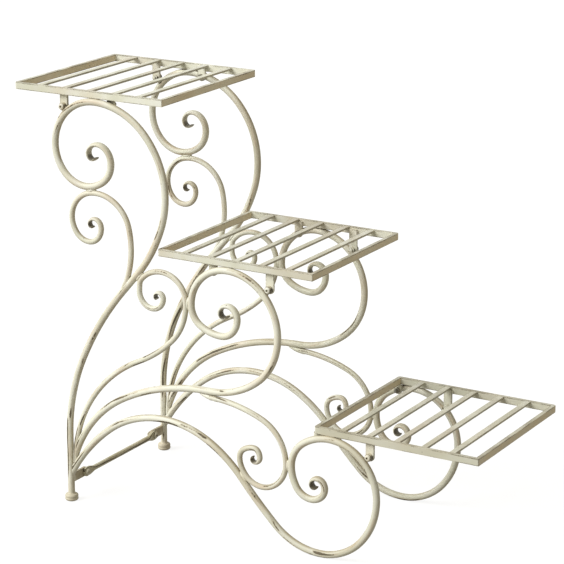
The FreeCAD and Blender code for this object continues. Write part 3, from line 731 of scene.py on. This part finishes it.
# an uneven bead that runs along one direction, with its depth along another
def weldBead(shape, place, along, depth, half):
    look = weldLook
    along = Vector(along).normalized()
    depth = Vector(depth)
    axes = Matrix((along, depth.cross(along), depth)).transposed().to_4x4()
    ball = bmesh.ops.create_icosphere(shape, subdivisions=look["subdivisions"], radius=1)["verts"]
    for vert in ball:
        lump = noise.noise(vert.co * look["lumpDetail"] + Vector(place) / look["lumpSize"])
        vert.co *= 1 + lump * look["lump"] + math.sin(vert.co.x * look["ripples"]) * look["ripple"]
    stretch = Matrix.Diagonal((half[0] * mm, half[1] * mm, half[2] * mm, 1))
    bmesh.ops.transform(shape, matrix=Matrix.Translation(place) @ axes @ stretch, verts=ball)


def surfaceOf(nodeName):
    mesh = nodes[nodeName].data
    places = [vert.co for vert in mesh.vertices]
    return BVHTree.FromPolygons(places, [face.vertices for face in mesh.polygons])


# the way along a rod in its upright plane, square to a normal
def alongRod(normal):
    return Vector((-normal.z, 0, normal.x))


# places where one rod lies against another, highest first, each with the normal of the surface there
def contacts(firstName, secondName):
    surface = surfaceOf(secondName)
    groups = []
    for vert in nodes[firstName].data.vertices:
        spot, normal, index, gap = surface.find_nearest(vert.co, weldLook["reach"])
        if spot is None:
            continue
        near = [group for group in groups if (group[0][0] - spot).length < weldLook["spread"]]
        if near:
            near[0].append((spot, normal))
        else:
            groups.append([(spot, normal)])
    found = []
    for group in groups:
        spot = sum((place for place, normal in group), Vector()) / len(group)
        normal = sum((normal for place, normal in group), Vector())
        found.append((spot, Vector((normal.x, 0, normal.z)).normalized()))
    return sorted(found, key=lambda item: -item[0].z)


# the middle of the lower curl's rear end, which lies higher than its other bends
def curlRoot(nodeName):
    places = [vert.co for vert in nodes[nodeName].data.vertices if vert.co.z > weldLook["rootHeight"]]
    rear = min(place.x for place in places)
    band = [place for place in places if place.x - rear < weldLook["rootBand"]]
    return (Vector(map(min, zip(*band))) + Vector(map(max, zip(*band)))) / 2


# a long bead that draws the lower curl's root out along the middle scroll
def featherWeld(shape, sideName):
    root = curlRoot(f"{sideName}_lower_curl")
    scroll = surfaceOf(f"{sideName}_middle_scroll")
    spot, normal, index, gap = scroll.find_nearest(root)
    rearwards = alongRod(normal) * math.copysign(weldLook["feather"][0] * mm, normal.z)
    tip, normal, index, gap = scroll.find_nearest(root + rearwards)
    weldBead(shape, root, tip - root, yAxis, weldLook["feather"])


def eyeWeld(shape, sideName, side, shelfName, scrollName):
    low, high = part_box(f"{sideName}_{shelfName}_eye")
    hole, inner, outer = tabHole(f"{sideName}_{shelfName}_long_tab", side)
    middle = hole + Vector((0, (low.y + high.y) / 2, 0))
    spot, normal, index, gap = surfaceOf(f"{sideName}_{scrollName}").find_nearest(middle)
    weldBead(shape, (spot.x, middle.y, spot.z), alongRod(normal), yAxis, weldLook["eye"])


def lugWelds(shape, sideName, side):
    lugLow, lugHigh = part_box(f"{sideName}_bar_lug")
    depth = faceOf(lugLow, lugHigh, side) - side * weldLook["sink"]
    for edge in (lugLow.x, lugHigh.x):
        weldBead(shape, (edge, depth, (lugLow.z + lugHigh.z) / 2), zAxis, xAxis, weldLook["lug"])


def slatWeld(shape, side, shelfName, number):
    low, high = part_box(f"{shelfName}_slat_{number}")
    place = ((low.x + high.x) / 2, faceOf(low, high, side) - side * weldLook["sink"], low.z)
    weldBead(shape, place, xAxis, yAxis, weldLook["slat"])


# one bead on top of a tab that hangs under the rail, or one along each edge of a tab behind it
def tabWelds(shape, sideName, side, shelfName, kind, railTop):
    low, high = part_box(f"{sideName}_{shelfName}_{kind}_tab")
    if high.z < railTop - weldLook["underRail"]:
        place = ((low.x + high.x) / 2, (low.y + high.y) / 2, high.z)
        weldBead(shape, place, xAxis, yAxis, weldLook["slat"])
        return
    depth = faceOf(low, high, side) - side * weldLook["tabSink"]
    for edge in (low.x, high.x):
        weldBead(shape, (edge, depth, high.z - weldLook["tabDrop"]), zAxis, yAxis, weldLook["tab"])


for sideName, side in sides.items():
    shape = bmesh.new()
    for curlName, rodName, count in rodWelds:
        for spot, normal in contacts(f"{sideName}_{curlName}", f"{sideName}_{rodName}")[:count]:
            weldBead(shape, spot, alongRod(normal), yAxis, weldLook["rod"])
    featherWeld(shape, sideName)
    for shelfName, scrollName in zip(shelfNames, scrollNames):
        eyeWeld(shape, sideName, side, shelfName, scrollName)
    lugWelds(shape, sideName, side)
    pieceFrom(f"{sideName}_welds", shape, weldPaint)

for shelfName in shelfNames:
    shape = bmesh.new()
    rimLow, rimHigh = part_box(f"{shelfName}_rim")
    for sideName, side in sides.items():
        for number in slatNumbers:
            slatWeld(shape, side, shelfName, number)
        for kind in ("long", "short"):
            tabWelds(shape, sideName, side, shelfName, kind, rimHigh.z)
    inset = weldLook["cornerInset"]
    corner = (rimHigh.x - inset, rimLow.y + inset, (rimLow.z + rimHigh.z) / 2)
    weldBead(shape, corner, zAxis, yAxis, weldLook["corner"])
    pieceFrom(f"{shelfName}_shelf_welds", shape, weldPaint)
print("welds laid")

stageLook = {
    "floorSize": 40.0,
    "bounceGrey": (0.40, 0.40, 0.385, 1),
    "shadowShare": 0.22,
    "floorGlow": 1.11,
    "ambient": (0.35, 0.318, 0.25, 1),
    "keyDirection": (-0.50, -0.62, 0.60),
    "keyStrength": 3.4,
    "keySoftness": math.radians(40),
    "keyColour": (0.97, 0.99, 1.0),
}


# 1 for rays that show the background, straight or in a reflection, and 0 for rays that light the object
def showingRay(finish):
    kinds = ("Is Camera Ray", "Is Glossy Ray", "Is Transmission Ray")
    camera, glossy, transmission = [finish.add("LightPath", {}, {}, kind) for kind in kinds]
    return finish.larger(finish.larger(camera, glossy), transmission)


def whiteFloor():
    material, finish = newFinish("whiteFloor")
    bounce = finish.add("BsdfDiffuse", {}, {"Color": stageLook["bounceGrey"]})
    shaded = finish.add("BsdfDiffuse", {}, {"Color": white})
    glow = finish.add("Emission", {}, {"Color": white, "Strength": stageLook["floorGlow"]})
    shown = finish.add("MixShader", {}, {0: stageLook["shadowShare"], 1: glow, 2: shaded})
    surface = finish.add("MixShader", {}, {0: showingRay(finish), 1: bounce, 2: shown})
    finish.set("Material Output", {"Surface": surface})
    material.node_tree.nodes.remove(material.node_tree.nodes["Principled BSDF"])
    shape = bmesh.new()
    bmesh.ops.create_grid(shape, x_segments=1, y_segments=1, size=stageLook["floorSize"] / 2)
    floor = meshObject("floor", shape, material)


def whiteWorld():
    world = bpy.data.worlds.new("studio")
    world.use_nodes = True
    scene.world = world
    finish = Finish(world.node_tree)
    colour = finish.blend(showingRay(finish), stageLook["ambient"], white)
    finish.set("Background", {"Color": colour, "Strength": 1.0})


def keyLight():
    lamp = bpy.data.lights.new("key", "SUN")
    lamp.energy = stageLook["keyStrength"]
    lamp.angle = stageLook["keySoftness"]
    lamp.color = stageLook["keyColour"]
    key = bpy.data.objects.new("key", lamp)
    key.rotation_euler = Vector(stageLook["keyDirection"]).to_track_quat("Z", "Y").to_euler()
    scene.collection.objects.link(key)


cameraLook = {
    "place": (1.5937, -2.70681, 1.27004), "pitch": math.radians(73.6317), "turn": math.radians(30.5414),
    "lens": 147.15, "sensor": 36,
}


def photoCamera():
    camera = bpy.data.cameras.new("photoView")
    camera.lens = cameraLook["lens"]
    camera.sensor_width = cameraLook["sensor"]
    eye = bpy.data.objects.new("photoView", camera)
    eye.location = cameraLook["place"]
    eye.rotation_euler = (cameraLook["pitch"], 0, cameraLook["turn"])
    scene.collection.objects.link(eye)
    scene.camera = eye


whiteFloor()
whiteWorld()
keyLight()
photoCamera()
print("stage set")
